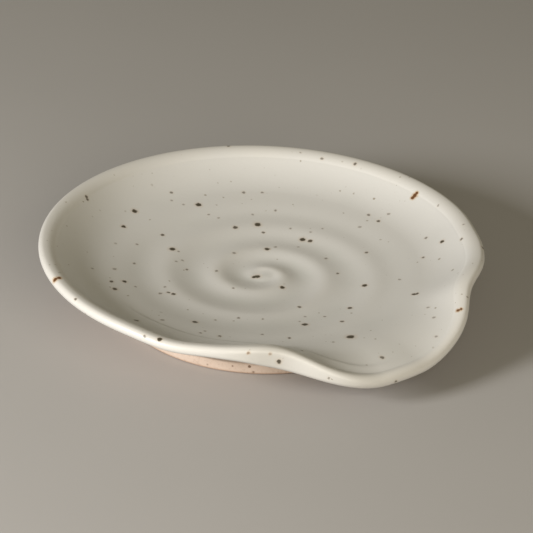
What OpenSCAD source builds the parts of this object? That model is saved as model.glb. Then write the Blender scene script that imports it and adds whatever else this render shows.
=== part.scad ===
// Spoon rest: a shallow dish of wheel-thrown stoneware with one lip pulled down for the spoon's
// handle, a finger spiral in its well, and a fired glaze that stops short of the bare foot.
// Frame: origin on the table under the middle of the dish's length, +Z up, +X along the middle of the lip.

/* [Dish] */
// Outside diameter of the round rim
rim_d = 130; // [110:1:160]
// Height from the table to the top of the rim
rim_h = 20.6; // [18:0.1:26]
// Radius of the rim's outer edge, glaze included
rim_out_r = 1.5; // [1.2:0.1:2.4]
// Radius of the rim's broad top, from that edge inwards
rim_in_r = 5.2; // [4:0.1:7]
// Turn of the crease where the rim meets the wall, in degrees
crease_turn = 12; // [4:1:16]
// Slope of the wall below the level rim, in degrees
wall_slope = 39; // [34:1:44]
// Length of the straight wall between the level rim and the cove
wall_len = 1.2; // [0.6:0.1:3]
// Radius of the hollow curve where the well turns up into the wall
cove_r = 26; // [20:1:30]
// Slope to which the well has risen where the cove starts, in degrees
bowl_slope = 10; // [8:0.5:12]
// Thickness of the floor at the middle of the well, glaze included
floor_t = 6.2; // [5:0.1:7]
// Thickness of the wall where the cove starts, glaze included
wall_t = 5.6; // [5:0.1:6.5]

/* [Foot] */
// Diameter of the foot
foot_d = 84; // [76:0.5:92]
// Height of the upright side of the foot
foot_side_h = 3.5; // [2:0.1:5]
// Width of the ring that touches the table, with the bevel at its outer edge
foot_ring_w = 5; // [3:0.5:8]
// Bevel at the foot's outer edge
foot_bevel = 0.6; // [0.3:0.1:1.2]
// Slope of the outside just under the rim, in degrees
under_slope = 31; // [27:1:36]

/* [Spoon lip] */
// Slope of the wall at the middle of the lip, where it droops outwards
lip_slope = -10; // [-13:0.1:4]
// Slope to which the well has risen there
lip_bowl_slope = 8; // [6:0.1:10]
// Turn of the crease between rim and wall there
lip_crease_turn = 20; // [16:1:24]
// Slope of the outside under the lip
lip_under_slope = -9; // [-12:1:10]
// How much longer the wall is pulled at the middle of the lip
lip_pull = 0.5; // [0:0.1:3]
// Radius of the rim's outer edge there
lip_rim_out_r = 2; // [1.4:0.1:2.6]
// Angles from the middle of the lip to the ends of its lowest stretch, on the +Y and the -Y side
lip_low_angles = [1, 8.7]; // [0:0.1:14]
// Angles from the middle of the lip to the level rim, on the +Y and the -Y side
lip_level_angles = [40.5, 47.2]; // [30:0.1:60]
// How far the rim is pinched in: at the +Y and the -Y shoulder, and where the round starts beside the first
pinch_depths = [2.3, 3.8, 0.4]; // [0:0.1:4]
// Angles of the pinches from the middle of the lip
pinch_angles = [30, -31.9, 61.4]; // [-40:0.1:70]
// Spread of the pinches to each side, in degrees
pinch_spreads = [8.5, 9.8, 7]; // [5:0.1:12]
// Changes of the wall's slope where the -Y shoulder stands up, and where the rim sinks beside it
sway_slopes = [5.4, -5.5]; // [-14:0.1:9]
// Angles of the two changes from the middle of the lip
sway_angles = [-37.1, -62.7]; // [-80:0.1:-25]
// Spread of the two changes to each side, in degrees
sway_spreads = [8.6, 8.6]; // [6:0.1:16]
// Height of the upright face at the -Y shoulder, where the rim is folded down
fold_h = 3.2; // [0:0.1:4.5]
// Angle of the fold from the middle of the lip
fold_angle = -35.3; // [-45:0.1:-25]
// Spread of the fold to each side, in degrees
fold_spread = 11.3; // [6:0.1:16]

/* [Finger spiral] */
// Height of the spiral's ridge above the mean floor, as it would be at the centre
spiral_h = 1.35; // [0.4:0.05:1.6]
// Distance from the centre over which the ridge fades to about a third
spiral_fade = 16; // [10:1:30]
// Distance from one turn of the ridge to the next, a finger's width
spiral_pitch = 12; // [10:0.1:16]
// Height of the nub left at the centre
nub_h = 0.75; // [0:0.05:1.2]
// Radius of the nub's top
nub_r = 4.4; // [2:0.1:6]
// Slope of the nub's top, in degrees
nub_slope = 7; // [0:0.5:9]

/* [Glaze] */
// Thickness of the fired glaze
glaze_t = 0.5; // [0.3:0.05:0.8]
// How far the glaze runs down the outside below the rim
glaze_skirt = 4; // [2.5:0.1:6]
// How much the edge of the glaze wavers up and down
glaze_waver = 0.6; // [0:0.1:1]

/* [Hidden] */

clay_colour = [0.80, 0.66, 0.55];
glaze_colour = [0.88, 0.86, 0.80];

// How far a cut runs past the clay that it takes away
overrun = 1;
// Where the spiral's centre lies, a little off the wheel's axis
spiral_off = [-0.5, 0.55];
// Angle at which the spiral's ridge leaves the centre, before it turns clockwise on its way out
spiral_start_angle = 262.5;
// Angle towards which the nub's top rises
nub_rise_angle = 99;
// Where the spiral starts to fade out under the cove, as a share of the bowl's radius
spiral_end_share = 0.75;
// Least depth of the hollow inside the foot ring
recess_least_h = 0.8;
// How round the ridge's crest is, as a share of the groove's own roundness
crest_round_share = 0.2;
// How far the grooves lean towards the crest inside them, which makes its outer side the steeper one
groove_lean = 23;
// Counts of the glaze edge's two wavers round the dish, and their shares of the whole
waver_counts = [3, 7];
waver_shares = [0.7, 0.3];

// Facet counts round the dish and along its section
lip_facets = 40;
round_facets = 26;
bowl_steps = 18;
cove_steps = 5;
wall_steps = 1;
rim_in_steps = 4;
rim_out_steps = 4;
rim_low_steps = 3;
skirt_steps = 1;
bare_steps = 5;

rim_r = rim_d / 2;
foot_r = foot_d / 2;
// Directions along a wall of a slope, up and outwards, and square to it, towards the well
function up_wall(slope) = [cos(slope), sin(slope)];
function into_well(slope) = [-sin(slope), cos(slope)];
function radians(angle) = angle * PI / 180;

// The level section, from the rim inwards: its top, crease, foot of the wall, edge of the bowl, floor
rim_top = [rim_r - rim_out_r, rim_h];
crease = rim_top + rim_in_r * (into_well(wall_slope + crease_turn) - into_well(0));
wall_foot = crease - wall_len * up_wall(wall_slope);
bowl_edge = wall_foot + cove_r * (into_well(wall_slope) - into_well(bowl_slope));
bowl_len = radians(bowl_slope) * bowl_edge[0] / sin(bowl_slope);
cove_len = cove_r * radians(wall_slope - bowl_slope);
floor_h = bowl_edge[1] - bowl_edge[0] * tan(bowl_slope / 2);
recess_h = max(recess_least_h, floor_h - floor_t);

lip_from = sway_angles[1] - 2 * sway_spreads[1];
lip_to = pinch_angles[2] + 2 * pinch_spreads[2];
facet_angles = concat(
    [for (k = [0:lip_facets - 1]) lip_from + (lip_to - lip_from) * k / lip_facets],
    [for (k = [0:round_facets - 1]) lip_to + (360 + lip_from - lip_to) * k / round_facets]);

function eased(x) = let (t = min(1, max(0, x))) t * t * (3 - 2 * t);
function total(v, k = 0) = k < len(v) ? v[k] + total(v, k + 1) : 0;
// An angle brought to lie between -180 and 180
function signed(a) = a - 360 * floor(a / 360 + 0.5);

// How much of the level wall is left at an angle: none in the middle of the lip, all from the shoulders on
function level_share(a) =
    let (s = signed(a),
         k = s > 0 ? 0 : 1)
    eased((abs(s) - lip_low_angles[k]) / (lip_level_angles[k] - lip_low_angles[k]));
// A value that goes from that of the lip to that of the level rim
function shaped(at_lip, at_level, share) = at_lip + (at_level - at_lip) * share;
// A bump round an angle
function bump(a, at, spread) = exp(-pow(signed(a - at) / spread, 2));
function bumps(a, heights, places, spreads) =
    total([for (k = [0:len(heights) - 1]) heights[k] * bump(a, places[k], spreads[k])]);
function slope_at(a) =
    shaped(lip_slope, wall_slope, level_share(a)) + bumps(a, sway_slopes, sway_angles, sway_spreads);
function bowl_slope_at(a) = shaped(lip_bowl_slope, bowl_slope, level_share(a));
function crease_turn_at(a) = shaped(lip_crease_turn, crease_turn, level_share(a));
function under_slope_at(a) = shaped(lip_under_slope, under_slope, level_share(a));
function rim_out_r_at(a) = shaped(lip_rim_out_r, rim_out_r, level_share(a));
function pinch_at(a) = bumps(a, pinch_depths, pinch_angles, pinch_spreads);
function fold_at(a) = fold_h * bump(a, fold_angle, fold_spread);

// Rise of the well across the finger grooves: 1 on a crest, -1 at the bottom of a groove
function groove_rise(turn) = 1 - 2 * norm([sin(turn / 2), crest_round_share]) / norm([1, crest_round_share]);
// Height that the finger spiral adds to the floor at a place in the well
function spiral_relief(place) =
    let (x = place - spiral_off,
         r = norm(x),
         turn = 360 * r / spiral_pitch + atan2(x[1], x[0]) - spiral_start_angle,
         nub = exp(-pow(r / nub_r, 4)),
         nub_top = nub_h + tan(nub_slope) * (x * [cos(nub_rise_angle), sin(nub_rise_angle)]),
         edge = 1 - eased((r / bowl_edge[0] - spiral_end_share) / (1 - spiral_end_share)))
    edge * (spiral_h * exp(-r / spiral_fade) * groove_rise(turn + groove_lean * (1 - cos(turn))) * (1 - nub)
        + nub_top * nub);

function skirt_at(a) =
    glaze_skirt + glaze_waver * total([for (k = [0:1]) waver_shares[k] * sin(waver_counts[k] * a)]);

// A place along an arc that has a length and turns from a slope, at a share of the whole
function sinc(angle) = angle == 0 ? 1 : sin(angle) / radians(angle);
function along_arc(start, slope, turn, length, share) =
    start + length * share * sinc(turn * share / 2) * up_wall(slope + turn * share / 2);

// Well, cove and wall keep their length where the lip lays them flatter, so it reaches out as it dips
function in_bowl(a, share) = along_arc([0, floor_h], 0, bowl_slope_at(a), bowl_len, share);
function in_cove(a, share) =
    along_arc(in_bowl(a, 1), bowl_slope_at(a), slope_at(a) - bowl_slope_at(a), cove_len, share);
function wall_len_at(a) =
    wall_len + lip_pull * (1 - level_share(a))
    + rim_in_r * radians(wall_slope + crease_turn - slope_at(a) - crease_turn_at(a));
function crease_at(a) = in_cove(a, 1) + wall_len_at(a) * up_wall(slope_at(a));
// Middles of the rim's two radii
function rim_in_mid_at(a) = crease_at(a) - rim_in_r * into_well(slope_at(a) + crease_turn_at(a));
function rim_out_mid_at(a) = rim_in_mid_at(a) + (rim_in_r - rim_out_r_at(a)) * into_well(0);
lip_reach = rim_out_mid_at(0)[0] + rim_out_r_at(0);
// Where the wheel's axis stands, so that the whole dish reaches as far along -X as along +X
wheel_x = (rim_r - lip_reach) / 2;

// Section of the dish at an angle, a depth below the glazed surface, from the floor to the glaze's edge
function glazed_section(depth, a) =
    let (slope = slope_at(a),
         bowl = bowl_slope_at(a),
         under = under_slope_at(a),
         in_turn = slope + crease_turn_at(a),
         in_mid = rim_in_mid_at(a),
         in_r = rim_in_r - depth,
         out_mid = rim_out_mid_at(a),
         out_r = rim_out_r_at(a) - depth,
         low_mid = out_mid - fold_at(a) * into_well(0),
         wall_top = crease_at(a) - depth * into_well(slope),
         rim_end = low_mid + out_r * into_well(under - 180))
    concat(
        [for (k = [1:bowl_steps])
            let (share = k / bowl_steps) in_bowl(a, share) - depth * into_well(bowl * share)],
        [for (k = [1:cove_steps])
            let (share = k / cove_steps) in_cove(a, share) - depth * into_well(shaped(bowl, slope, share))],
        [for (k = [1:wall_steps]) wall_top - (1 - k / wall_steps) * wall_len_at(a) * up_wall(slope)],
        [for (k = [1:rim_in_steps]) in_mid + in_r * into_well(in_turn * (1 - k / rim_in_steps))],
        [for (k = [1:rim_out_steps]) out_mid + out_r * into_well(-90 * k / rim_out_steps)],
        [for (k = [1:rim_low_steps]) low_mid + out_r * into_well(-90 - (90 - under) * k / rim_low_steps)],
        [for (k = [1:skirt_steps]) rim_end - skirt_at(a) * k / skirt_steps * up_wall(under)]);

// Bare clay, from the glaze's edge round the wall's full thickness to the foot's side and below the table
function bare_section(edge, a) =
    let (foot = [foot_r, foot_side_h],
         middle = in_bowl(a, 1) - wall_t * into_well(bowl_slope_at(a)),
         pull = 2 * middle - (edge + foot) / 2)
    concat(
        [for (k = [1:bare_steps])
            let (t = k / bare_steps) (1 - t) * (1 - t) * edge + 2 * t * (1 - t) * pull + t * t * foot],
        [[foot_r, foot_bevel], [foot_r - foot_bevel - overrun, -overrun]]);

// A point of a section, pinched in at the shoulder and turned to its angle
function turned(p, a) =
    let (pinch = pinch_at(a) * eased((p[0] - foot_r) / (crease[0] - foot_r)),
         place = (p[0] - pinch) * [cos(a), sin(a)])
    [place[0], place[1], p[1]];
// A point of the well, which carries the finger spiral too
function thrown(p, a) =
    let (q = turned(p, a))
    [q[0], q[1], q[2] + spiral_relief([q[0], q[1]])];

well_rows = bowl_steps + cove_steps;
function glazed_ring(depth, a) =
    let (section = glazed_section(depth, a))
    [for (k = [0:len(section) - 1]) k < well_rows ? thrown(section[k], a) : turned(section[k], a)];
function well_centre(depth) = [0, 0, floor_h - depth + spiral_relief([0, 0])];
function reversed(v) = [for (k = [len(v) - 1:-1:0]) v[k]];

// A closed skin through equal rows of points at every facet angle, with a pole at each end
module closed_skin(rings, first_pole, last_pole) {
    n = len(rings);
    rows = len(rings[0]);
    first = n * rows;
    bands = [for (i = [0:n - 1], j = [0:rows - 2])
        let (a = i * rows + j, b = (i + 1) % n * rows + j)
        each [[a, b, b + 1], [a, b + 1, a + 1]]];
    caps = [for (i = [0:n - 1])
        let (a = i * rows, b = (i + 1) % n * rows)
        each [[first, b, a], [first + 1, a + rows - 1, b + rows - 1]]];
    polyhedron(concat([for (r = rings) each r], [first_pole, last_pole]), concat(bands, caps));
}

// The clay: floor, wall, pulled lip and foot, cut level and trimmed hollow underneath
module stoneware_body() {
    rings = [for (a = facet_angles)
        let (section = glazed_section(glaze_t, a),
             bare = bare_section(section[len(section) - 1], a))
        concat(glazed_ring(glaze_t, a), [for (p = bare) turned(p, a)])];
    color(clay_colour)
        translate([wheel_x, 0, 0])
            difference() {
                closed_skin(rings, well_centre(glaze_t), [0, 0, -overrun]);
                translate([0, 0, -2 * overrun]) cylinder(h = 2 * overrun, r = rim_r, $fn = 96);
                translate([0, 0, -overrun])
                    cylinder(h = overrun + recess_h, r = foot_r - foot_ring_w, $fn = 96);
            }
}

// The glaze: one glassy skin over the well, the rim and the top of the outer wall
module glaze_coat() {
    rings = [for (a = facet_angles) concat(glazed_ring(0, a), reversed(glazed_ring(glaze_t, a)))];
    color(glaze_colour)
        translate([wheel_x, 0, 0])
            closed_skin(rings, well_centre(0), well_centre(glaze_t));
}

stoneware_body();
glaze_coat();
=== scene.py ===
# %% [markdown]
# # A wheel-thrown spoon rest
#
# This lesson dresses one small pot: a shallow stoneware dish with a lip pulled down for the handle of a
# spoon. Two bodies of different stuff are in it, the clay and the glaze that is fired onto it. Their
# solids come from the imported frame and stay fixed. Here each gets a finer mesh from the same formula, the
# small marks of the potter's hands, a procedural finish, and the light and camera of a small product
# photograph. All lengths are metres.

# %% Load the frame
import math

import bpy
import numpy as np
from mathutils import Matrix, Vector
from mathutils.bvhtree import BVHTree


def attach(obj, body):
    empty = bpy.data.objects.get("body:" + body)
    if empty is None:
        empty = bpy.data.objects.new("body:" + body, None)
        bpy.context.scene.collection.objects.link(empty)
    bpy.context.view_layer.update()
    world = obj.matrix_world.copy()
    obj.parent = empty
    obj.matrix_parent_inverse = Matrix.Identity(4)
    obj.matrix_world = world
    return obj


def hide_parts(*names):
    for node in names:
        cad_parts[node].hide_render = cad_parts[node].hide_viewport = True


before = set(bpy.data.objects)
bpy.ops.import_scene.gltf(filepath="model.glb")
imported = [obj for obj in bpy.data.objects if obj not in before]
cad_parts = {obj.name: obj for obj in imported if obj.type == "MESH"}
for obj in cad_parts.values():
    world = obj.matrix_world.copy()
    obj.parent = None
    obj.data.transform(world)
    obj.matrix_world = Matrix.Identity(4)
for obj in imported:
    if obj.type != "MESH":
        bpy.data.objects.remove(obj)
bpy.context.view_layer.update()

# %% [markdown]
# ## The sizes that the potter's hands left
#
# A thrown dish is one section turned round the wheel's axis. We could model it by pushing vertices about,
# but a formula keeps every ring true and lets us choose how fine the mesh is. The numbers below are the
# driving sizes of the solids. Where the lip is pulled, the wall is only laid out flatter: its length stays,
# so the rim sinks and reaches out at the same time, as soft clay does.

# %% Sizes of the dish
RIM_R = 0.065
RIM_H = 0.0206
RIM_OUT_R = 0.0015
RIM_IN_R = 0.0052
CREASE_TURN = math.radians(12)
WALL_SLOPE = math.radians(39)
WALL_LEN = 0.0012
COVE_R = 0.026
BOWL_SLOPE = math.radians(10)
FLOOR_T = 0.0062
WALL_T = 0.0056
FOOT_R = 0.042
FOOT_SIDE_H = 0.0035
FOOT_RING_W = 0.005
UNDER_SLOPE = math.radians(31)
GLAZE_T = 0.0005
GLAZE_SKIRT = 0.004
GLAZE_WAVER = 0.0006


def up_wall(slope):
    """Direction along a wall, up and outwards, as radius and height."""
    return np.stack([np.cos(slope), np.sin(slope)], -1)


def into_well(slope):
    """Direction square to a wall, towards the well."""
    return np.stack([-np.sin(slope), np.cos(slope)], -1)


rim_top = np.array([RIM_R - RIM_OUT_R, RIM_H])
crease = rim_top + RIM_IN_R * (into_well(WALL_SLOPE + CREASE_TURN) - into_well(0))
wall_foot = crease - WALL_LEN * up_wall(WALL_SLOPE)
bowl_edge = wall_foot + COVE_R * (into_well(WALL_SLOPE) - into_well(BOWL_SLOPE))
bowl_len = BOWL_SLOPE * bowl_edge[0] / math.sin(BOWL_SLOPE)
cove_len = COVE_R * (WALL_SLOPE - BOWL_SLOPE)
floor_h = bowl_edge[1] - bowl_edge[0] * math.tan(BOWL_SLOPE / 2)
recess_h = floor_h - FLOOR_T
print("floor at height", round(floor_h, 4), "bowl out to radius", round(bowl_edge[0], 4))

# %% [markdown]
# ## Laying out the lip
#
# Two fingers hold the rim and a third strokes it down between them, which leaves a low tongue and two
# shoulders. Sculpting would do it too, but an eased blend of the wall's slope, with a small pinch at each
# shoulder, gives the same S-shaped rim from a handful of angles. Each function takes an array of angles
# round the dish, measured from the middle of the lip.

# %% The lip as functions of the angle
LIP_SLOPE = math.radians(-10)
LIP_BOWL_SLOPE = math.radians(8)
LIP_CREASE_TURN = math.radians(20)
LIP_UNDER_SLOPE = math.radians(-9)
LIP_PULL = 0.0005
LIP_RIM_OUT_R = 0.002
LIP_LOW_ANGLES = np.radians([1, 8.7])
LIP_LEVEL_ANGLES = np.radians([40.5, 47.2])
PINCH_DEPTHS = [0.0023, 0.0038, 0.0004]
PINCH_ANGLES = np.radians([30, -31.9, 61.4])
PINCH_SPREADS = np.radians([8.5, 9.8, 7])
SWAY_SLOPES = np.radians([5.4, -5.5])
SWAY_ANGLES = np.radians([-37.1, -62.7])
SWAY_SPREADS = np.radians([8.6, 8.6])
FOLD_H = 0.0032
FOLD_ANGLE = math.radians(-35.3)
FOLD_SPREAD = math.radians(11.3)


def eased(x):
    """A smooth step from 0 to 1."""
    t = np.clip(x, 0, 1)
    return t * t * (3 - 2 * t)


def signed(a):
    """Angles brought to lie between minus and plus half a turn."""
    return (a + math.pi) % (2 * math.pi) - math.pi


def level_share(a):
    """None of the level wall in the middle of the lip, all of it from the shoulders on."""
    s = signed(a)
    share = [eased((np.abs(s) - low) / (level - low)) for low, level in zip(LIP_LOW_ANGLES, LIP_LEVEL_ANGLES)]
    return np.where(s > 0, share[0], share[1])


def shaped(at_lip, at_level, share):
    return at_lip + (at_level - at_lip) * share


def bumps(a, heights, places, spreads):
    return sum(h * np.exp(-(signed(a - p) / s) ** 2) for h, p, s in zip(heights, places, spreads))


def slope_at(a):
    return shaped(LIP_SLOPE, WALL_SLOPE, level_share(a)) + bumps(a, SWAY_SLOPES, SWAY_ANGLES, SWAY_SPREADS)


def pinch_at(a):
    return bumps(a, PINCH_DEPTHS, PINCH_ANGLES, PINCH_SPREADS)


print("wall's slope at the lip and opposite:", np.degrees(slope_at(np.array([0, math.pi]))).round(1))

# %% [markdown]
# ## The finger spiral
#
# As the wheel turns, a fingertip drawn from the middle outwards leaves a spiral of soft grooves with rounded
# crests between them, and a tilted nub where it was set down. No hand is even: the turns widen outwards,
# drift to one side, and stand higher and rounder on one side. An image could fake it, but light rakes over
# these crests, so they are real height. The solids carry a plainer spiral of about the same depth.

# %% Height of the finger spiral
SPIRAL_H = 0.0015
SPIRAL_FADE = 0.029
SPIRAL_PITCH = 0.0123
SPIRAL_GROWTH_SHARE = 0.11
SPIRAL_OFF = np.array([-0.0010, 0.0014])
SPIRAL_DRIFT_SHARES = np.array([0.053, -0.094])
SPIRAL_START = math.radians(219.4)
SPIRAL_END_SHARE = 0.75
STRONG_ANGLE = math.radians(144)
STRONG_SHARE = 0.48
CREST_ROUND_SHARE = 0.71
CREST_SOFTEN_SHARE = 0.57
NUB_R = 0.0036
NUB_EDGE_POWER = 4
NUB_SLOPE = math.radians(7)
NUB_RISE_ANGLE = math.radians(58)
MILLIMETRE = 0.001


def groove_rise(x, y):
    """How high a place lies between the grooves' bottoms and their crests, about 0 and fading outwards."""
    away = np.stack([x, y], -1) - SPIRAL_OFF
    away = away - np.linalg.norm(away, axis=-1, keepdims=True) * SPIRAL_DRIFT_SHARES
    r = np.linalg.norm(away, axis=-1)
    around = np.arctan2(away[..., 1], away[..., 0])
    turns = (np.sqrt(1 + 2 * SPIRAL_GROWTH_SHARE * r / SPIRAL_PITCH) - 1) / SPIRAL_GROWTH_SHARE
    turn = 2 * math.pi * turns + around - SPIRAL_START
    side = np.cos(around - STRONG_ANGLE)
    soft = CREST_ROUND_SHARE * np.exp(CREST_SOFTEN_SHARE * side)
    rise = 1 + (soft - 2 * np.hypot(np.sin(turn / 2), soft)) / np.hypot(1, soft)
    return rise * np.exp(-r / SPIRAL_FADE) * (1 + STRONG_SHARE * side)


def spiral_relief(x, y):
    """Height of grooves, crests and nub over the plain bowl, none at the bowl's edge."""
    dx, dy = x - SPIRAL_OFF[0], y - SPIRAL_OFF[1]
    nub = np.exp(-(np.hypot(dx, dy) / NUB_R) ** NUB_EDGE_POWER)
    nub_top = math.tan(NUB_SLOPE) * (dx * math.cos(NUB_RISE_ANGLE) + dy * math.sin(NUB_RISE_ANGLE))
    edge = 1 - eased((np.hypot(x, y) / bowl_edge[0] - SPIRAL_END_SHARE) / (1 - SPIRAL_END_SHARE))
    return edge * (SPIRAL_H * groove_rise(x, y) * (1 - nub) + nub_top * nub)


outwards = np.linspace(0, bowl_edge[0])
relief_mm = spiral_relief(outwards, 0 * outwards) / MILLIMETRE
print("spiral towards the lip from", relief_mm.min().round(2), "to", relief_mm.max().round(2), "mm")

# %% [markdown]
# ## From section to skin
#
# Each line of points from the middle outwards is one section: floor, hollow cove, wall, rounded rim and the
# skirt that hangs over the outside. Revolving with a Screw modifier could not follow the lip, so the sections
# are worked out for every angle at once as arrays of radius and height, then turned to their places. First
# come the slopes, lengths and centres that differ from angle to angle.

# %% Slopes, lengths and centres at every angle
ANGLE_COUNT = 420
WAVER_COUNTS = [3, 7]
WAVER_SHARES = [0.7, 0.3]

angles = np.arange(ANGLE_COUNT) * 2 * math.pi / ANGLE_COUNT
level = level_share(angles)[:, None]
slope = slope_at(angles)[:, None]
bowl_slope = shaped(LIP_BOWL_SLOPE, BOWL_SLOPE, level)
under_slope = shaped(LIP_UNDER_SLOPE, UNDER_SLOPE, level)
in_turn = slope + shaped(LIP_CREASE_TURN, CREASE_TURN, level)
out_r = shaped(LIP_RIM_OUT_R, RIM_OUT_R, level)[..., None]
fold = bumps(angles, [FOLD_H], [FOLD_ANGLE], [FOLD_SPREAD])[:, None, None]
waver = sum(share * np.sin(count * angles) for count, share in zip(WAVER_COUNTS, WAVER_SHARES))
skirt_len = GLAZE_SKIRT + GLAZE_WAVER * waver


def along_arc(start, start_slope, turn, length, shares):
    """Places along an arc that has a length and turns from a slope, at shares of the whole."""
    half = turn * shares / 2
    return start + (length * shares * np.sinc(half / math.pi))[..., None] * up_wall(start_slope + half)


def in_bowl(shares):
    return along_arc(np.array([0, floor_h]), 0, bowl_slope, bowl_len, shares)


def in_cove(shares):
    return along_arc(in_bowl(np.ones(1)), bowl_slope, slope - bowl_slope, cove_len, shares)


wall_len = WALL_LEN + LIP_PULL * (1 - level) + RIM_IN_R * (WALL_SLOPE + CREASE_TURN - in_turn)
creases = in_cove(np.ones(1)) + wall_len[..., None] * up_wall(slope)
in_mids = creases - RIM_IN_R * into_well(in_turn)
out_mids = in_mids + (RIM_IN_R - out_r) * into_well(0)
low_mids = out_mids - fold * into_well(0)
wheel_x = (RIM_R - float(out_mids[0, 0, 0] + out_r[0, 0, 0])) / 2
print("wheel's axis at x", round(wheel_x, 5))

# %% [markdown]
# ## The glazed section, and turning it
#
# The glaze's face and the clay under it are the same section at two depths, so one function gives both.
# Offsetting a finished mesh would do it as well, but here each depth has its own number of rows, and the
# hidden one needs few. Turning a section to its angle also pinches it in at the shoulders.

# %% The section from the floor to the glaze's edge
def steps(count):
    """Shares from just past 0 to 1."""
    return np.arange(1, count + 1) / count


def glazed_section(depth, bowl_rows, cove_rows, wall_rows, rim_rows, skirt_depths):
    """Radius and height for every angle and row, a depth below the glaze's face, floor to glaze edge."""
    in_rows, out_rows, low_rows = rim_rows
    bowl = in_bowl(steps(bowl_rows)) - depth * into_well(bowl_slope * steps(bowl_rows))
    cove = in_cove(steps(cove_rows)) - depth * into_well(shaped(bowl_slope, slope, steps(cove_rows)))
    wall_left = (wall_len * (1 - steps(wall_rows)))[..., None]
    wall = creases - depth * into_well(slope) - wall_left * up_wall(slope)
    rim_in = in_mids + (RIM_IN_R - depth) * into_well(in_turn * (1 - steps(in_rows)))
    rim_out = out_mids + (out_r - depth) * into_well(-math.pi / 2 * steps(out_rows))
    low_turn = -math.pi / 2 - (math.pi / 2 - under_slope) * steps(low_rows)
    rim_low = low_mids + (out_r - depth) * into_well(low_turn)
    down = (skirt_len[:, None] * steps(len(skirt_depths)))[..., None]
    skirt = (low_mids + (out_r - skirt_depths[None, :, None]) * into_well(under_slope - math.pi)
             - down * up_wall(under_slope))
    return np.concatenate([bowl, cove, wall, rim_in, rim_out, rim_low, skirt], 1)


def turned(section):
    """Points of a section, pinched in at the shoulders and turned round the wheel's axis."""
    r, z = section[..., 0], section[..., 1]
    share = eased((r - FOOT_R) / (crease[0] - FOOT_R))
    r = r - pinch_at(angles)[:, None] * share
    return np.stack([r * np.cos(angles)[:, None], r * np.sin(angles)[:, None], z], -1)


# %% [markdown]
# ## Marks of the hand
#
# The spiral is added as height to the rows of the well. A small ledge runs along the front of the wall and
# onto the lip, where a fingertip slid while the lip was laid out. A bump texture would not cast the faint
# line that the photograph shows there, so the ledge is height as well, fading at both ends.

# %% Spiral and ledge as heights
LINE_AT_LIP = 0.0031
LINE_AT_WALL = 0.0146
LINE_LIP_H = 0.0002
LINE_WALL_H = 0.00055
LINE_W = 0.0017
LINE_MIDDLE = math.radians(-48)
LINE_REACH = math.radians(56)
LINE_END = math.radians(30)


def thrown(points, well_rows):
    """Adds the finger spiral to the rows of the well."""
    points = points.copy()
    well = points[:, :well_rows]
    well[..., 2] += spiral_relief(well[..., 0], well[..., 1])
    return points


def throwing_line(bowl_rows, cove_rows, wall_rows):
    """Height of the ledge, for the rows of bowl, cove and wall."""
    bowl_down = wall_len + cove_len + bowl_len * (1 - steps(bowl_rows))
    cove_down = wall_len + cove_len * (1 - steps(cove_rows))
    wall_down = wall_len * (1 - steps(wall_rows))
    down = np.concatenate([bowl_down, cove_down, wall_down], 1)
    at = shaped(LINE_AT_LIP, LINE_AT_WALL, level)
    high = shaped(LINE_LIP_H, LINE_WALL_H, level)
    turn = np.abs(signed(angles - LINE_MIDDLE))
    present = 1 - eased((turn - LINE_REACH) / LINE_END + 1)
    return high * eased((at - down) / LINE_W + 1 / 2) * eased(down / at) * present[:, None]


def well_centre(depth):
    return np.array([0, 0, floor_h - depth + float(spiral_relief(np.zeros(1), np.zeros(1))[0])])


print("middle of the well at height", well_centre(0)[2].round(4))

# %% [markdown]
# ## Rings into a mesh
#
# Both pieces are closed skins: rings of points joined by quads, with a fan at each pole. One helper makes
# them, smooth shaded, and writes a polar UV map, so that a baked texture gives its room to the faces that
# show. The face hidden between clay and glaze gets a small corner of that map. Seen from outside, the
# corners of every face run counterclockwise, so that its normal points out of the piece.

# %% A helper for closed skins
UV_MIDDLE = (0.5, 0.5)
UV_REACH = 0.48
UV_CORNER = (0.06, 0.06)
UV_CORNER_REACH = 0.05


def polar_uv(points, middle, reach):
    """Rings unrolled round a middle, as far out as they are along the section."""
    inmost = points[:, :1] * 0 + points[:, :1].mean(0)
    step = np.linalg.norm(np.diff(points, axis=1, prepend=inmost), axis=-1)
    along = np.cumsum(step.mean(0))
    r = reach * along / along[-1]
    around = np.stack([np.cos(angles), np.sin(angles)], -1)
    return np.array(middle) + r[None, :, None] * around[:, None]


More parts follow.
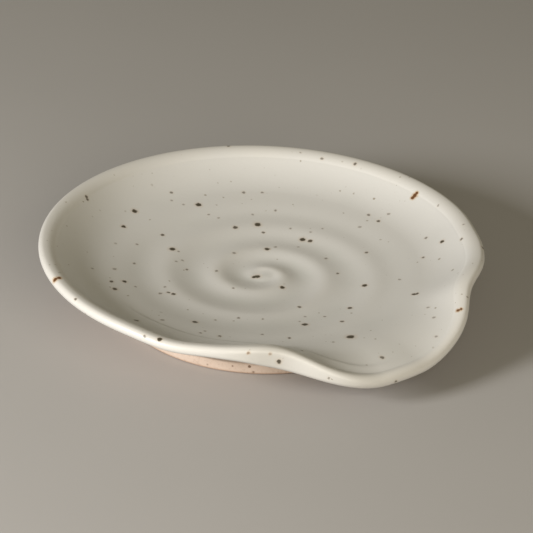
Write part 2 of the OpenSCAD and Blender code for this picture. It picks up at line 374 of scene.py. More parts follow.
def closed_skin(name, shown, hidden, shown_pole, hidden_pole, shown_first):
    """A mesh object from the rows that show and the rows that are hidden, moved into the frame."""
    rows = np.concatenate([shown, hidden] if shown_first else [hidden, shown], 1)
    uv_shown = polar_uv(shown if shown_first else shown[:, ::-1], UV_MIDDLE, UV_REACH)
    uv_hidden = polar_uv(hidden[:, ::-1] if shown_first else hidden, UV_CORNER, UV_CORNER_REACH)
    uv = (np.concatenate([uv_shown, uv_hidden[:, ::-1]], 1) if shown_first
          else np.concatenate([uv_hidden, uv_shown[:, ::-1]], 1))
    poles = [shown_pole, hidden_pole] if shown_first else [hidden_pole, shown_pole]
    middles = [UV_MIDDLE, UV_CORNER] if shown_first else [UV_CORNER, UV_MIDDLE]
    count = rows.shape[1]
    verts = np.concatenate([rows.reshape(-1, 3), np.array(poles)]) + np.array([wheel_x, 0, 0])
    here = np.arange(ANGLE_COUNT)[:, None] * count + np.arange(count - 1)[None]
    there = (here + count) % (ANGLE_COUNT * count)
    quads = np.stack([here, here + 1, there + 1, there], -1).reshape(-1, 4)
    first = np.arange(ANGLE_COUNT) * count
    after = (first + count) % (ANGLE_COUNT * count)
    start_pole = np.full(ANGLE_COUNT, ANGLE_COUNT * count)
    start_fan = np.stack([start_pole, first, after], -1)
    end_fan = np.stack([start_pole + 1, after + count - 1, first + count - 1], -1)
    mesh = bpy.data.meshes.new(name)
    mesh.from_pydata(verts.tolist(), [], quads.tolist() + start_fan.tolist() + end_fan.tolist())
    mesh.validate()
    mesh.polygons.foreach_set("use_smooth", [True] * len(mesh.polygons))
    flat_uv = np.concatenate([uv.reshape(-1, 2), np.array(middles)])
    corner_verts = np.zeros(len(mesh.loops), np.int32)
    mesh.loops.foreach_get("vertex_index", corner_verts)
    mesh.uv_layers.new(name="OFBake").data.foreach_set("uv", flat_uv[corner_verts].ravel())
    piece = bpy.data.objects.new(name, mesh)
    bpy.context.scene.collection.objects.link(piece)
    print(name, "has", len(mesh.vertices), "vertices and", len(mesh.polygons), "faces")
    return piece


def note_on_points(piece, name, values):
    """Keeps one number for every point of a mesh, for its material to read."""
    attribute = piece.data.attributes.new(name, "FLOAT", "POINT")
    attribute.data.foreach_set("value", np.asarray(values, np.float32).ravel())


# %% [markdown]
# ## The glaze
#
# Dipped glaze is a skin about half a millimetre thick. It runs thin over crests and the rim, pools in
# grooves, and ends on the outside in a soft rolled edge. A Solidify modifier would give an even sheet with
# a square edge, so the outer face is built row by row and bends in to meet the clay at its end. One number
# is kept for every point: how far the glaze has pooled there.

# %% Build the glaze
BOWL_ROWS = 84
COVE_ROWS = 40
WALL_ROWS = 12
RIM_ROWS = (12, 10, 8)
SKIRT_ROWS = 8
UNDER_BOWL_ROWS = 36
UNDER_COVE_ROWS = 9
UNDER_WALL_ROWS = 1
UNDER_RIM_ROWS = (4, 4, 3)
UNDER_SKIRT_ROWS = 1
ROLL_SHARE = 0.45
POOL_TIMES = 1.5

roll = np.clip((steps(SKIRT_ROWS) - (1 - ROLL_SHARE)) / ROLL_SHARE, 0, 1)
skirt_depths = GLAZE_T * (1 - np.sqrt(1 - roll ** 2))
face_section = glazed_section(0, BOWL_ROWS, COVE_ROWS, WALL_ROWS, RIM_ROWS, skirt_depths)
face = thrown(turned(face_section), BOWL_ROWS + COVE_ROWS)
face[:, :BOWL_ROWS + COVE_ROWS + WALL_ROWS, 2] += throwing_line(BOWL_ROWS, COVE_ROWS, WALL_ROWS)
under_section = glazed_section(GLAZE_T, UNDER_BOWL_ROWS, UNDER_COVE_ROWS, UNDER_WALL_ROWS, UNDER_RIM_ROWS,
                               np.full(UNDER_SKIRT_ROWS, GLAZE_T))
under = thrown(turned(under_section), UNDER_BOWL_ROWS + UNDER_COVE_ROWS)

glaze = closed_skin("glaze_coat_fine", face, under[:, -2::-1], well_centre(0), well_centre(GLAZE_T), True)


def pooled():
    """Above 0 in the grooves, where glaze is thick, and below 0 on crests and over the rim, row by row."""
    grooves = -POOL_TIMES * groove_rise(face[..., 0], face[..., 1])
    rim_start = BOWL_ROWS + COVE_ROWS + WALL_ROWS
    row = np.arange(face.shape[1])
    over_rim = np.exp(-((row - (rim_start + RIM_ROWS[0])) / RIM_ROWS[0]) ** 2)
    return np.where(row < BOWL_ROWS + COVE_ROWS, grooves, 0) - over_rim


pool = np.concatenate([pooled(), np.zeros((ANGLE_COUNT, under.shape[1] - 1))], 1)
note_on_points(glaze, "glaze_pool", np.append(pool.ravel(), [0, 0]))
print("glaze pools from", pool.min().round(2), "to", pool.max().round(2))

# %% [markdown]
# ## The clay
#
# The stoneware is the same shape half a millimetre deeper, with the bare outer wall, the foot ring and the
# trimmed hollow under it. The photograph doesn't show the underside. Such dishes are turned upside down and
# trimmed, which leaves fine rings, so the hollow gets them as real ripples. One number is kept for every
# point here too: how far it lies from the glaze's edge.

# %% Build the clay
BARE_ROWS = 24
SIDE_ROWS = 5
BEVEL_ROWS = 4
RECESS_WALL_ROWS = 6
RECESS_ROWS = 60
FOOT_BEVEL = 0.0006
TRIM_PITCH = 0.0021
TRIM_H = 0.00006
THROW_PITCH = 0.0024
THROW_H = 0.00005
FAR_FROM_GLAZE = 1.0


def bare_section(edge):
    """From the glaze's edge past the wall's full thickness to the foot's upright side."""
    foot = np.array([FOOT_R, FOOT_SIDE_H])
    middle = in_bowl(np.ones(1)) - WALL_T * into_well(bowl_slope)
    pull = 2 * middle - (edge + foot) / 2
    t = steps(BARE_ROWS)[None, :, None]
    line = (1 - t) ** 2 * edge + 2 * t * (1 - t) * pull + t ** 2 * foot
    rings = THROW_H * np.sin(2 * math.pi * line[..., 0] / THROW_PITCH)
    line[..., 1] += rings * np.sin(math.pi * steps(BARE_ROWS))
    return line


def foot_section():
    """The foot's side and bevel, the ring, the wall of the trimmed hollow, and its turned ceiling."""
    ring_in = FOOT_R - FOOT_RING_W
    side_h = FOOT_SIDE_H + (FOOT_BEVEL - FOOT_SIDE_H) * steps(SIDE_ROWS)
    side = np.stack([np.full(SIDE_ROWS, FOOT_R), side_h], -1)
    turn = math.pi / 2 * steps(BEVEL_ROWS)
    slow = FOOT_BEVEL * (1 - np.cos(turn))
    quick = FOOT_BEVEL * (1 - np.sin(turn))
    outer = np.stack([FOOT_R - slow, quick], -1)
    inner = np.stack([ring_in + quick, slow], -1)
    up_h = FOOT_BEVEL + (recess_h - 2 * FOOT_BEVEL) * steps(RECESS_WALL_ROWS)
    up = np.stack([np.full(RECESS_WALL_ROWS, ring_in), up_h], -1)
    cove = np.stack([ring_in - slow, recess_h - quick], -1)
    r = (ring_in - FOOT_BEVEL) * (1 - np.arange(1, RECESS_ROWS) / RECESS_ROWS)
    ceiling = np.stack([r, recess_h + TRIM_H * (np.cos(2 * math.pi * r / TRIM_PITCH) - 1)], -1)
    path = np.concatenate([side, outer, inner, up, cove, ceiling])
    return np.broadcast_to(path, (ANGLE_COUNT, len(path), 2))


bare = turned(np.concatenate([bare_section(under_section[:, -1:]), foot_section()], 1))
recess_centre = np.array([0, 0, recess_h])
clay = closed_skin("stoneware_body_fine", bare, under, recess_centre, well_centre(GLAZE_T), False)

below_edge = np.linalg.norm(bare - under[:, -1:], axis=-1)
below = np.concatenate([0 * under[..., 0], below_edge], 1)
note_on_points(clay, "below_glaze", np.append(below.ravel(), [0, FAR_FROM_GLAZE]))

for piece, node, slot in ((glaze, "glaze_coat", "cream_glaze"), (clay, "stoneware_body", "bare_stoneware")):
    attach(piece, "root")
    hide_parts(node)
print("pieces riding on root:", glaze.name, clay.name)

# %% [markdown]
# ## The camera
#
# The photograph was taken with a fairly long lens from a little above the table, and the camera leans by two
# degrees. The dish stays where the frame has it, so the view is turned round it instead: the lip points to
# the front right of the picture.

# %% Place the camera
CAMERA_FOV = math.radians(12)
CAMERA_PITCH = math.radians(28.34)
CAMERA_LEAN = math.radians(2.22)
CAMERA_DISTANCE = 0.76845
CAMERA_AIM = Vector((0.00157, 0.0222, 0))
LIP_TURN = math.radians(48.87)

to_frame = Matrix.Rotation(LIP_TURN, 3, "Z")
wheel = Vector((wheel_x, 0, 0))
back = to_frame @ Vector((0, -math.cos(CAMERA_PITCH), math.sin(CAMERA_PITCH)))
level_right = to_frame @ Vector((1, 0, 0))
level_up = back.cross(level_right)
right = level_right * math.cos(CAMERA_LEAN) + level_up * math.sin(CAMERA_LEAN)
up = level_up * math.cos(CAMERA_LEAN) - level_right * math.sin(CAMERA_LEAN)
eye = wheel + to_frame @ CAMERA_AIM + back * CAMERA_DISTANCE

camera_data = bpy.data.cameras.new("photo_camera")
camera_data.sensor_fit = "HORIZONTAL"
camera_data.angle = CAMERA_FOV
camera = bpy.data.objects.new("photo_camera", camera_data)
bpy.context.scene.collection.objects.link(camera)
camera.matrix_world = Matrix.Translation(eye) @ Matrix((right, up, back)).transposed().to_4x4()
bpy.context.scene.camera = camera
print("camera at", [round(x, 3) for x in eye])

# %% [markdown]
# ## Iron specks
#
# Grains of iron in the clay melt up through the glaze and stain it, most of them brown, a few on the rim
# rusty with an amber ring. Painting them on an image would tie them to one resolution. Instead the larger
# ones are placed where the photograph shows them: a ray through each pixel finds the glaze. A node
# group then draws one speck round such a point, and a chain of it draws them all.

# %% Find the places of the larger specks
PHOTO_SIZE = 533
PIXEL_MIDDLE = 0.5
# Pixel across and down, width in millimetres, and how dark it is
DARK_SPECKS_PX = [
    (134, 210.5, 1.7, 1), (123, 226, 1.4, 1), (198, 204.3, 1.8, 1), (172, 248.5, 1.9, 1),
    (257, 224, 2, 1), (302, 239, 1.8, 1), (309.5, 240.5, 1.4, 0.95), (266.5, 248.5, 1.5, 1),
    (253.5, 276.5, 1.3, 1), (257, 276, 1.7, 1), (282, 287, 1.4, 1), (350, 336.3, 2.3, 1),
    (304.5, 324, 1.7, 1), (194.5, 321.5, 1.6, 1), (364, 285, 1.5, 1), (413.5, 293.8, 1.2, 1),
    (416.5, 293.2, 1.1, 1), (349.5, 307.5, 1.3, 0.95), (441.5, 241, 1.3, 1), (482.5, 247.5, 1.1, 1),
    (159.4, 338.5, 1.4, 1), (136, 320, 1.4, 0.95), (278.5, 361, 1.3, 0.95), (111, 281, 1.1, 0.9),
    (124, 281, 1.4, 1), (114.5, 288.5, 1.5, 0.95), (168, 292, 1, 0.9), (173, 293.5, 1.2, 0.95),
    (86, 196.3, 1, 0.85), (87, 199, 0.9, 0.85), (235, 227, 1.4, 0.9), (162, 234.5, 1.1, 0.85),
    (378, 220.5, 1.1, 0.85), (354.5, 163.5, 1.1, 0.8), (461, 238.5, 1, 0.8), (422.5, 257, 1, 0.8),
    (366, 252, 1, 0.8), (337, 273, 0.9, 0.8), (341.5, 321, 1.1, 0.8), (299, 306.5, 1.1, 0.8),
    (289, 337.5, 1, 0.8), (219, 335.5, 1.1, 0.8), (263, 232, 1, 0.8), (75, 298.5, 0.9, 0.8),
    (395.4, 381, 0.9, 0.8), (381.5, 357, 1.2, 0.75), (171, 192, 1, 0.7), (243, 192, 1.1, 0.65),
    (262, 192, 0.9, 0.6), (228, 145.5, 1.2, 0.7), (321.5, 158, 1, 0.65), (368, 214.5, 1, 0.65),
    (388, 213.5, 0.9, 0.5), (425.5, 237.5, 1, 0.65), (452, 269.5, 0.9, 0.5), (186.5, 269, 1, 0.7),
    (136.5, 244, 0.9, 0.6), (134, 263, 1, 0.65), (114, 268.5, 1.2, 0.5), (160, 293, 1.1, 0.6),
    (164.5, 286.5, 0.9, 0.6), (135, 286, 0.8, 0.55), (178, 251, 0.8, 0.55), (175.5, 261, 0.8, 0.5),
    (182, 260, 0.9, 0.5), (92, 268, 0.9, 0.45), (208, 214, 0.8, 0.55), (218, 217.5, 0.8, 0.5),
    (252, 214, 0.9, 0.45), (275, 210, 0.8, 0.6), (290, 228, 0.8, 0.55), (322, 228, 0.8, 0.5),
    (310, 231.5, 0.8, 0.45), (234, 252.5, 1.1, 0.6), (216, 270.5, 1, 0.6), (275, 246.5, 0.9, 0.5),
    (298, 246.5, 0.8, 0.45), (325.5, 258, 1, 0.6), (233, 287.5, 0.8, 0.65), (238, 317.5, 0.9, 0.65),
    (262.5, 318.5, 0.8, 0.6), (215, 319.5, 0.8, 0.55), (324, 316, 0.9, 0.6), (304.5, 316, 0.8, 0.5),
    (299, 321, 0.8, 0.5), (262, 334, 0.9, 0.65), (200, 332.5, 0.9, 0.6), (204.5, 330.5, 0.8, 0.6),
    (144, 336, 0.9, 0.7), (162, 319.5, 1.1, 0.55), (333, 341.5, 0.8, 0.5), (301.5, 350, 0.9, 0.6),
    (427.5, 307, 0.9, 0.5), (433.5, 317, 0.9, 0.5), (435.7, 336, 0.9, 0.5), (399, 279, 0.8, 0.5),
    (359, 226.5, 1, 0.45), (437.5, 205, 0.8, 0.5), (171, 200, 0.8, 0.45), (183, 204, 0.8, 0.45),
    (115, 243, 0.9, 0.35), (463, 224, 0.8, 0.45), (467, 296.5, 0.7, 0.55), (300, 152, 0.7, 0.45),
    (328.5, 377.5, 0.7, 0.55),
]
RUSTY_SPECKS_PX = [
    (54.5, 279, 1.5, 1), (58.5, 277.3, 1.3, 1), (412.5, 197, 1.2, 1), (414.5, 194.8, 1.4, 1),
    (416.2, 192.6, 1.1, 1), (457.5, 309.8, 1, 0.95), (460.5, 308.6, 0.9, 0.95), (248, 352.5, 0.8, 0.6),
    (269.5, 353.5, 0.7, 0.4),
]
CLAY_SPECKS_PX = [(232, 365.5, 0.6, 0.7), (249, 366, 0.9, 0.9), (253, 371.5, 0.7, 0.7), (207, 364, 0.6, 0.5)]
# How far a speck's soft edge reaches past the width that the eye sees
SPECK_EDGE_TIMES = 1.25


def seen_at(tree, x_px, y_px):
    """Where the ray through a pixel meets a piece."""
    half = math.tan(CAMERA_FOV / 2)
    across = (2 * (x_px + PIXEL_MIDDLE) / PHOTO_SIZE - 1) * half
    down = (2 * (y_px + PIXEL_MIDDLE) / PHOTO_SIZE - 1) * half
    ray = (right * across - up * down - back).normalized()
    return tree.ray_cast(eye, ray)[0]


def places(piece, table):
    """Centre, radius and darkness of every speck whose ray meets the piece."""
    points = [vertex.co for vertex in piece.data.vertices]
    tree = BVHTree.FromPolygons(points, [polygon.vertices for polygon in piece.data.polygons])
    found = [(seen_at(tree, x_px, y_px), width * MILLIMETRE * SPECK_EDGE_TIMES / 2, dark)
             for x_px, y_px, width, dark in table]
    return [speck for speck in found if speck[0] is not None]


dark_specks = places(glaze, DARK_SPECKS_PX)
rusty_specks = places(glaze, RUSTY_SPECKS_PX)
clay_specks = places(clay, CLAY_SPECKS_PX)
print("specks:", len(dark_specks), "dark,", len(rusty_specks), "rusty,", len(clay_specks), "on the clay")

# %% [markdown]
# ## Node groups that the finishes share
#
# A node group is a small machine that several materials can use, each with its own values. The first draws
# one speck and passes on the specks drawn before it. The second scatters tiny specks, in cells of a Voronoi
# texture, with a chance of none. The third is soft mottling. Groups give out masks and values only.

# %% Helpers for node groups
def node_group(name, inputs, outputs):
    group = bpy.data.node_groups.new(name, "ShaderNodeTree")
    for socket_name, kind in inputs:
        group.interface.new_socket(socket_name, in_out="INPUT", socket_type=kind)
    for socket_name in outputs:
        group.interface.new_socket(socket_name, in_out="OUTPUT", socket_type="NodeSocketFloat")
    return group, group.nodes.new("NodeGroupInput"), group.nodes.new("NodeGroupOutput")


def add_node(tree, kind, settings=(), values=(), links=()):
    """A node with its settings, its constant inputs and what feeds it."""
    node = tree.nodes.new(kind)
    for key, value in dict(settings).items():
        setattr(node, key, value)
    for key, value in dict(values).items():
        node.inputs[key].default_value = value
    for key, source in dict(links).items():
        tree.links.new(source, node.inputs[key])
    return node


def feed(tree, socket, source):
    """Gives a node's input a plain number, or links another node's output to it."""
    if isinstance(source, (int, float)):
        socket.default_value = source
    else:
        tree.links.new(source, socket)


def math_node(tree, operation, first, second):
    """A Math node whose inputs are sockets or plain numbers."""
    node = add_node(tree, "ShaderNodeMath", {"operation": operation})
    feed(tree, node.inputs[0], first)
    feed(tree, node.inputs[1], second)
    return node.outputs[0]


def range_node(tree, value, low, high, to_low=0.0, to_high=1.0):
    """A smooth step of a value between two limits, which may be sockets."""
    node = add_node(tree, "ShaderNodeMapRange", {"interpolation_type": "SMOOTHSTEP"},
                    {"To Min": to_low, "To Max": to_high}, {"Value": value})
    feed(tree, node.inputs["From Min"], low)
    feed(tree, node.inputs["From Max"], high)
    return node.outputs["Result"]


# %% One placed speck
SPECK_SOFT_SHARE = 0.55
SPECK_HALO_TIMES = 1.9


def make_speck_group():
    group, given, result = node_group(
        "placed speck",
        [("Position", "NodeSocketVector"), ("Centre", "NodeSocketVector"), ("Radius", "NodeSocketFloat"),
         ("Strength", "NodeSocketFloat"), ("Mask", "NodeSocketFloat"), ("Halo", "NodeSocketFloat")],
        ["Mask", "Halo"])
    away = add_node(group, "ShaderNodeVectorMath", {"operation": "DISTANCE"}, (),
                    {0: given.outputs["Position"], 1: given.outputs["Centre"]}).outputs["Value"]
    radius = given.outputs["Radius"]
    core = math_node(group, "MULTIPLY", radius, SPECK_SOFT_SHARE)
    reach = math_node(group, "MULTIPLY", radius, SPECK_HALO_TIMES)
    strength = given.outputs["Strength"]
    speck = math_node(group, "MULTIPLY", range_node(group, away, core, radius, 1.0, 0.0), strength)
    halo = math_node(group, "MULTIPLY", range_node(group, away, core, reach, 1.0, 0.0), strength)
    group.links.new(math_node(group, "MAXIMUM", given.outputs["Mask"], speck), result.inputs["Mask"])
    group.links.new(math_node(group, "MAXIMUM", given.outputs["Halo"], halo), result.inputs["Halo"])
    return group


speck_group = make_speck_group()
print("group:", speck_group.name, "with", len(speck_group.nodes), "nodes")


# %% Scattered small specks
def make_scatter_group():
    group, given, result = node_group(
        "scattered specks",
        [("Position", "NodeSocketVector"), ("Cell", "NodeSocketFloat"), ("Radius", "NodeSocketFloat"),
         ("Chance", "NodeSocketFloat")],
        ["Mask"])
    scale = math_node(group, "DIVIDE", 1.0, given.outputs["Cell"])
    cells = add_node(group, "ShaderNodeTexVoronoi", {"voronoi_dimensions": "3D"}, {"Randomness": 1.0},
                     {"Vector": given.outputs["Position"], "Scale": scale})
    luck = add_node(group, "ShaderNodeSeparateColor", (), (), {"Color": cells.outputs["Color"]})
    away = math_node(group, "MULTIPLY", cells.outputs["Distance"], given.outputs["Cell"])
    size = math_node(group, "MULTIPLY", luck.outputs["Red"], given.outputs["Radius"])
    core = math_node(group, "MULTIPLY", size, SPECK_SOFT_SHARE)
    speck = range_node(group, away, core, size, 1.0, 0.0)
    present = math_node(group, "LESS_THAN", luck.outputs["Green"], given.outputs["Chance"])
    strength = math_node(group, "MULTIPLY", present, luck.outputs["Blue"])
    group.links.new(math_node(group, "MULTIPLY", speck, strength), result.inputs["Mask"])
    return group


scatter_group = make_scatter_group()
print("group:", scatter_group.name, "with", len(scatter_group.nodes), "nodes")

# %% Soft mottling
BROAD_NOISE = {"Detail": 2.0, "Roughness": 0.5}
FINE_NOISE = {"Detail": 4.0, "Roughness": 0.6}
FINE_TIMES = 9.0


def make_mottle_group():
    group, given, result = node_group(
        "soft mottling", [("Position", "NodeSocketVector"), ("Size", "NodeSocketFloat")], ["Broad", "Fine"])
    scale = math_node(group, "DIVIDE", 1.0, given.outputs["Size"])
    finer = math_node(group, "MULTIPLY", scale, FINE_TIMES)
    for name, values, source in (("Broad", BROAD_NOISE, scale), ("Fine", FINE_NOISE, finer)):
        noise = add_node(group, "ShaderNodeTexNoise", (), values,
                         {"Vector": given.outputs["Position"], "Scale": source})
        group.links.new(noise.outputs["Fac"], result.inputs[name])
    return group


mottle_group = make_mottle_group()
print("group:", mottle_group.name, "with", len(mottle_group.nodes), "nodes")

# %% [markdown]
# ## Helpers for the materials
#
# Both finishes lay colours over each other by masks, read mottling, get fine bumps from noise and end in one
# Principled shader. Wiring each by hand in the editor works too, but a few helpers keep the recipes short
# enough to read as a list of layers.

# %% Helpers for the materials
NOISE_MIDDLE = 0.5
NOISE_RANGE_SHARES = (0.2, 0.8)
SPECK_WARP_NOISE = {"size": 0.0009, "detail": 1.0}
SPECK_WARP = 0.00035


def new_material(name):
    material = bpy.data.materials.new(name)
    material.use_nodes = True
    tree = material.node_tree
    shader = tree.nodes["Principled BSDF"]
    place = tree.nodes.new("ShaderNodeTexCoord").outputs["Object"]
    return material, tree, shader, place


def use_group(tree, group, values=(), links=()):
    return add_node(tree, "ShaderNodeGroup", {"node_tree": group}, values, links)


def blend_colour(tree, factor, first, second):
    """One colour laid over another by a mask. Each colour is a socket or four numbers."""
    node = tree.nodes.new("ShaderNodeMix")
    node.data_type = "RGBA"
    tree.links.new(factor, node.inputs["Factor"])
    for key, source in (("A", first), ("B", second)):
        socket = next(s for s in node.inputs if s.name == key and s.type == "RGBA")
        if isinstance(source, tuple):
            socket.default_value = source
        else:
            tree.links.new(source, socket)
    return next(s for s in node.outputs if s.type == "RGBA")


def blend_share(tree, mask, share, first, second):
    """The same, with the mask at a share of its strength."""
    return blend_colour(tree, math_node(tree, "MULTIPLY", mask, share), first, second)


def grain_noise(tree, place, size, detail):
    return add_node(tree, "ShaderNodeTexNoise", (), {"Scale": 1 / size, "Detail": detail}, {"Vector": place})


def warped(tree, place):
    """Positions shaken a little, so that round specks get ragged outlines."""
    noise = grain_noise(tree, place, **SPECK_WARP_NOISE)
    centred = add_node(tree, "ShaderNodeVectorMath", {"operation": "SUBTRACT"}, {1: (NOISE_MIDDLE,) * 3},
                       {0: noise.outputs["Color"]})
    small = add_node(tree, "ShaderNodeVectorMath", {"operation": "SCALE"}, {"Scale": 2 * SPECK_WARP},
                     {0: centred.outputs["Vector"]})
    return add_node(tree, "ShaderNodeVectorMath", {"operation": "ADD"}, (),
                    {0: place, 1: small.outputs["Vector"]}).outputs["Vector"]


def speck_chain(tree, place, specks):
    """The placed specks, one group after another, each passing on the masks before it."""
    last = None
    for centre, radius, dark in specks:
        links = {"Position": place}
        if last:
            links.update({"Mask": last.outputs["Mask"], "Halo": last.outputs["Halo"]})
        last = use_group(tree, speck_group, {"Centre": centre, "Radius": radius, "Strength": dark}, links)
    return last


def rough_skin(tree, shader, place, unevenness, roughnesses, grain, bump_values):
    """Roughness between two values by a noise, and a fine bump of a grain's size and detail."""
    roughness = range_node(tree, unevenness, *NOISE_RANGE_SHARES, *roughnesses)
    tree.links.new(roughness, shader.inputs["Roughness"])
    noise = grain_noise(tree, place, **grain)
    bump = add_node(tree, "ShaderNodeBump", (), bump_values, {"Height": noise.outputs["Fac"]})
    tree.links.new(bump.outputs["Normal"], shader.inputs["Normal"])


# %% [markdown]
# ## The cream glaze
#
# It is a satin white with a little iron in it: cream where it is even, warmer where it is thin over the rim
# and the crests, cooler where it pools. Roughness stays in the middle, with a fine orange-peel bump. The
# specks go over the colour last, and a slight warp of their places gives them ragged outlines.

# %% Make the glaze material
CREAM = (0.67, 0.65, 0.615, 1)
THIN_WARM = (0.69, 0.66, 0.61, 1)
POOLED_COOL = (0.60, 0.592, 0.55, 1)
TINY_SPECK = (0.27, 0.22, 0.14, 1)
IRON_BROWN = (0.045, 0.033, 0.014, 1)
AMBER = (0.50, 0.30, 0.11, 1)
RUST = (0.12, 0.04, 0.008, 1)
FULL_POOL = 1.0
GLAZE_MOTTLE_SIZE = 0.018
TINY_SPECKS = {"Cell": 0.0024, "Radius": 0.00034, "Chance": 0.5}
SMALL_SPECKS = {"Cell": 0.0021, "Radius": 0.00055, "Chance": 0.22}
TINY_SPECK_SHARE = 0.75
DARK_HALO_SHARE = 0.22
RUSTY_HALO_SHARE = 0.7
SPECK_SHARE = 0.95
GLAZE_ROUGHNESSES = (0.30, 0.42)
PEEL = {"size": 0.0016, "detail": 2.0}
PEEL_BUMP = {"Strength": 0.25, "Distance": 0.00005}


def make_glaze_material():
    material, tree, shader, place = new_material("cream_glaze")
    shaken = warped(tree, place)
    mottle = use_group(tree, mottle_group, {"Size": GLAZE_MOTTLE_SIZE}, {"Position": place})
    pool_noted = add_node(tree, "ShaderNodeAttribute", {"attribute_name": "glaze_pool"}).outputs["Fac"]
    uneven = math_node(tree, "ADD", pool_noted,
                       math_node(tree, "SUBTRACT", mottle.outputs["Broad"], NOISE_MIDDLE))
    thin = range_node(tree, uneven, 0.0, -FULL_POOL)
    thick = range_node(tree, uneven, 0.0, FULL_POOL)
    colour = blend_colour(tree, thin, CREAM, THIN_WARM)
    colour = blend_colour(tree, thick, colour, POOLED_COOL)
    tiny = use_group(tree, scatter_group, TINY_SPECKS, {"Position": shaken})
    small = use_group(tree, scatter_group, SMALL_SPECKS, {"Position": shaken})
    faint = math_node(tree, "MAXIMUM", tiny.outputs["Mask"], small.outputs["Mask"])
    colour = blend_share(tree, faint, TINY_SPECK_SHARE, colour, TINY_SPECK)
    dark = speck_chain(tree, shaken, dark_specks)
    rusty = speck_chain(tree, shaken, rusty_specks)
    colour = blend_share(tree, dark.outputs["Halo"], DARK_HALO_SHARE, colour, AMBER)
    colour = blend_share(tree, rusty.outputs["Halo"], RUSTY_HALO_SHARE, colour, AMBER)
    colour = blend_share(tree, dark.outputs["Mask"], SPECK_SHARE, colour, IRON_BROWN)
    colour = blend_share(tree, rusty.outputs["Mask"], SPECK_SHARE, colour, RUST)
    tree.links.new(colour, shader.inputs["Base Color"])
    rough_skin(tree, shader, place, mottle.outputs["Fine"], GLAZE_ROUGHNESSES, PEEL, PEEL_BUMP)
    return material


glaze.data.materials.append(make_glaze_material())
print("glaze material has", len(glaze.data.materials[0].node_tree.nodes), "nodes")

# %% [markdown]
# ## The bare clay
#
# Unglazed stoneware is matt and peach coloured, with sandy grog and brown specks. A darker line at the
# bottom is partly where the foot met the kiln shelf and partly painted contact shadow. Just under the glaze
# the clay is painted greyer, as the painted shade of the rim's overhang. Colour follows the height and the
# distance from the glaze, so it sits right from any side.

# %% Make the clay material
PEACH = (0.56, 0.44, 0.35, 1)
PEACH_LIGHT = (0.66, 0.535, 0.445, 1)
# Partly the kiln shelf's toasted mark, partly painted contact shadow where the foot meets the table
FOOT_TOASTED_AND_SHADE = (0.36, 0.20, 0.11, 1)
GROG_BROWN = (0.36, 0.25, 0.18, 1)
# Painted shade: the rim overhang's shadow on the clay just under the glaze
UNDER_RIM_PAINTED_SHADE = (0.56, 0.475, 0.41, 1)
CLAY_SPECK = (0.16, 0.09, 0.05, 1)
CLAY_MOTTLE_SIZE = 0.008
GROG_RANGE_SHARES = (0.5, 0.7)
GROG_SHARE = 0.35
# Reach of the painted shade below the glaze's edge
PAINTED_SHADE_W = 0.004
# Height and share of the dark foot line, which is partly painted contact shadow
TOASTED_AND_SHADE_H = 0.001
TOASTED_AND_SHADE_SHARE = 0.75
CLAY_SPECKS = {"Cell": 0.0026, "Radius": 0.00045, "Chance": 0.45}
CLAY_SPECK_SHARE = 0.8
CLAY_ROUGHNESSES = (0.78, 0.95)
SAND = {"size": 0.0006, "detail": 4.0}
SAND_BUMP = {"Strength": 0.5, "Distance": 0.0001}


def make_clay_material():
    material, tree, shader, place = new_material("bare_stoneware")
    mottle = use_group(tree, mottle_group, {"Size": CLAY_MOTTLE_SIZE}, {"Position": place})
    colour = blend_colour(tree, mottle.outputs["Broad"], PEACH, PEACH_LIGHT)
    grains = range_node(tree, mottle.outputs["Fine"], *GROG_RANGE_SHARES)
    colour = blend_share(tree, grains, GROG_SHARE, colour, GROG_BROWN)
    below_noted = add_node(tree, "ShaderNodeAttribute", {"attribute_name": "below_glaze"}).outputs["Fac"]
    # Painted shade of the rim's overhang: the clay is greyer within a few millimetres of the glaze's edge
    colour = blend_colour(tree, range_node(tree, below_noted, PAINTED_SHADE_W, 0.0), colour, UNDER_RIM_PAINTED_SHADE)
    height = add_node(tree, "ShaderNodeSeparateXYZ", (), (), {"Vector": place}).outputs["Z"]
    # Darker towards the bottom: partly the kiln shelf's mark, partly painted contact shadow
    colour = blend_share(tree, range_node(tree, height, TOASTED_AND_SHADE_H, 0.0), TOASTED_AND_SHADE_SHARE, colour, FOOT_TOASTED_AND_SHADE)
    specks = use_group(tree, scatter_group, CLAY_SPECKS, {"Position": warped(tree, place)})
    colour = blend_share(tree, specks.outputs["Mask"], CLAY_SPECK_SHARE, colour, CLAY_SPECK)
    placed = speck_chain(tree, place, clay_specks)
    colour = blend_colour(tree, placed.outputs["Mask"], colour, CLAY_SPECK)
    tree.links.new(colour, shader.inputs["Base Color"])
    rough_skin(tree, shader, place, mottle.outputs["Fine"], CLAY_ROUGHNESSES, SAND, SAND_BUMP)
    return material


clay.data.materials.append(make_clay_material())
print("clay material has", len(clay.data.materials[0].node_tree.nodes), "nodes")

# %% [markdown]
# ## Table and light
#
# A small soft lamp stands low at the left of the picture, a little towards the camera, so the rim throws a
# soft shadow into the near side of the well and the far wall is bright. A larger, weaker and warmer lamp at
# the front lifts the outside of the rim, and an even warm world fills the rest. The table is a plain pale
# plane.

# %% The table
TABLE_SIZE = 6.0
TABLE_COLOUR = (0.46, 0.437, 0.415, 1)
TABLE_DARK_SHARE = 0.94
TABLE_MOTTLE_SIZE = 0.09
TABLE_ROUGHNESS = 0.9

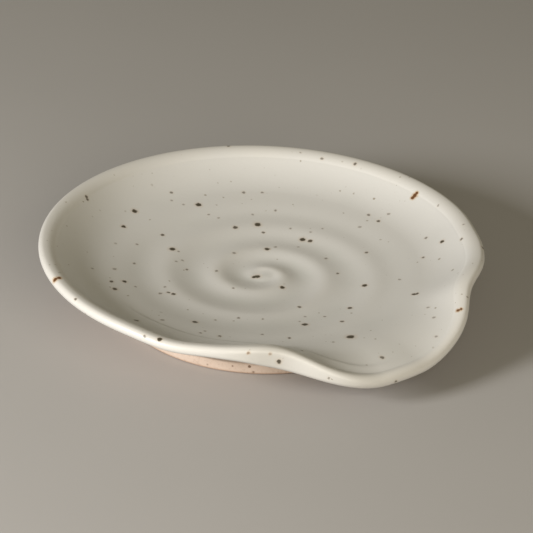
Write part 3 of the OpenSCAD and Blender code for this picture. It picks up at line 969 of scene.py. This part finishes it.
bpy.ops.mesh.primitive_plane_add(size=TABLE_SIZE)
table = bpy.context.object
table.name = "table"
table_material, table_tree, table_shader, table_place = new_material("pale_table")
table_mottle = use_group(table_tree, mottle_group, {"Size": TABLE_MOTTLE_SIZE}, {"Position": table_place})
table_dark = tuple(TABLE_DARK_SHARE * c for c in TABLE_COLOUR)
table_colour = blend_colour(table_tree, table_mottle.outputs["Broad"], TABLE_COLOUR, table_dark)
table_tree.links.new(table_colour, table_shader.inputs["Base Color"])
table_shader.inputs["Roughness"].default_value = TABLE_ROUGHNESS
table.data.materials.append(table_material)
print("table", TABLE_SIZE, "m wide")

# %% Lamps and world
# Azimuths are degrees round the picture: 180 is left and 270 towards the camera
KEY = {"azimuth": 213, "elevation": 23, "distance": 0.8, "size": 0.21, "power": 6.3,
       "colour": (1.0, 1.0, 1.0)}
FILL = {"azimuth": 288, "elevation": 22, "distance": 0.9, "size": 0.64, "power": 4.1,
        "colour": (1.0, 0.95, 0.84)}
WORLD_COLOUR = (1.0, 0.90, 0.61, 1)
WORLD_STRENGTH = 0.155


def soft_lamp(name, azimuth, elevation, distance, size, power, colour):
    """A square lamp turned to the dish."""
    around, above = math.radians(azimuth), math.radians(elevation)
    flat = math.cos(above)
    towards = to_frame @ Vector((math.cos(around) * flat, math.sin(around) * flat, math.sin(above)))
    lamp_data = bpy.data.lights.new(name, "AREA")
    lamp_data.size = size
    lamp_data.energy = power
    lamp_data.color = colour
    lamp = bpy.data.objects.new(name, lamp_data)
    lamp.location = wheel + towards * distance
    lamp.rotation_euler = towards.to_track_quat("Z", "Y").to_euler()
    bpy.context.scene.collection.objects.link(lamp)


soft_lamp("soft_key", **KEY)
soft_lamp("front_fill", **FILL)

world = bpy.data.worlds.new("soft_room")
world.use_nodes = True
world.node_tree.nodes["Background"].inputs["Color"].default_value = WORLD_COLOUR
world.node_tree.nodes["Background"].inputs["Strength"].default_value = WORLD_STRENGTH
bpy.context.scene.world = world
bpy.context.scene.view_settings.view_transform = "Standard"
print("key lamp", KEY["power"], "W, fill lamp", FILL["power"], "W, world", WORLD_STRENGTH)
